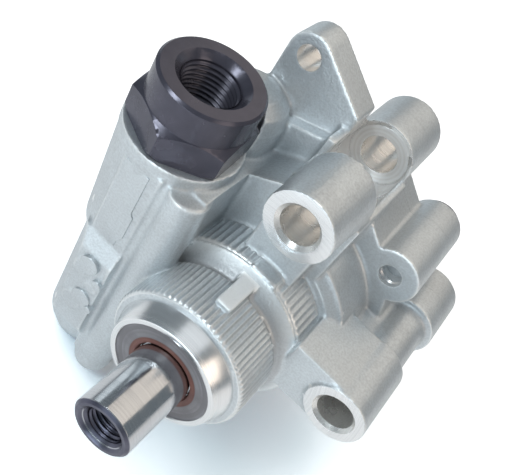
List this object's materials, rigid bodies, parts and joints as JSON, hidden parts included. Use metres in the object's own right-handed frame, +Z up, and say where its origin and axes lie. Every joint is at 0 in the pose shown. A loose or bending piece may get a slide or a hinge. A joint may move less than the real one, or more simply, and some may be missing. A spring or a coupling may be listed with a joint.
{
  "type": "power steering pump",
  "caption": "Vane-type power steering pump: cast aluminium housing, steel drive shaft, black outlet fitting, mounting bosses and a rear cover.",
  "frame": {"origin": "on the shaft axis, level with the front of the seal nose", "axes": "+Z up along the outlet, -Y out along the drive shaft, +X to the right seen from the shaft end"},
  "size_m": [0.1002, 0.1077, 0.125],
  "materials": {
    "cast_aluminium": "satin as cast",
    "steel": "ground",
    "black_steel": "black oxide, satin",
    "rubber": "matt",
    "lip_rubber": "matt",
    "bronze": "turned"
  },
  "bodies": {
    "housing": {"front_housing": "cast_aluminium", "rear_cover": "cast_aluminium", "cover_screws": "black_steel", "seal_case": "rubber", "seal_lip": "lip_rubber", "front_bush": "bronze", "rear_bush": "bronze", "plate_spring": "steel", "pressure_plate": "steel", "plate_o_ring": "rubber", "cam_ring": "steel", "dowel_pins": "steel", "thrust_plate": "steel", "cover_o_ring": "rubber", "outlet_fitting": "black_steel", "fitting_o_ring": "rubber", "valve_spring": "steel"},
    "rotating_group": {"drive_shaft": "steel", "rotor": "steel", "rotor_clip": "steel", "vane_1": "steel", "vane_2": "steel", "vane_3": "steel", "vane_4": "steel", "vane_5": "steel", "vane_6": "steel", "vane_7": "steel", "vane_8": "steel", "vane_9": "steel", "vane_10": "steel"},
    "spool": {"flow_spool": "steel"}
  },
  "joints": [
    {"name": "shaft_turn", "type": "hinge", "parent": "housing", "child": "rotating_group", "pos_m": [0, 0, 0], "axis": [0, 1, 0], "continuous": true},
    {"name": "spool_slide", "type": "slide", "parent": "housing", "child": "spool", "axis": [0, 0, -1], "range_m": [0, 0.01], "stiffness_N_per_m": 3000, "springref_m": -0.006, "deforming": ["valve_spring"]}
  ]
}
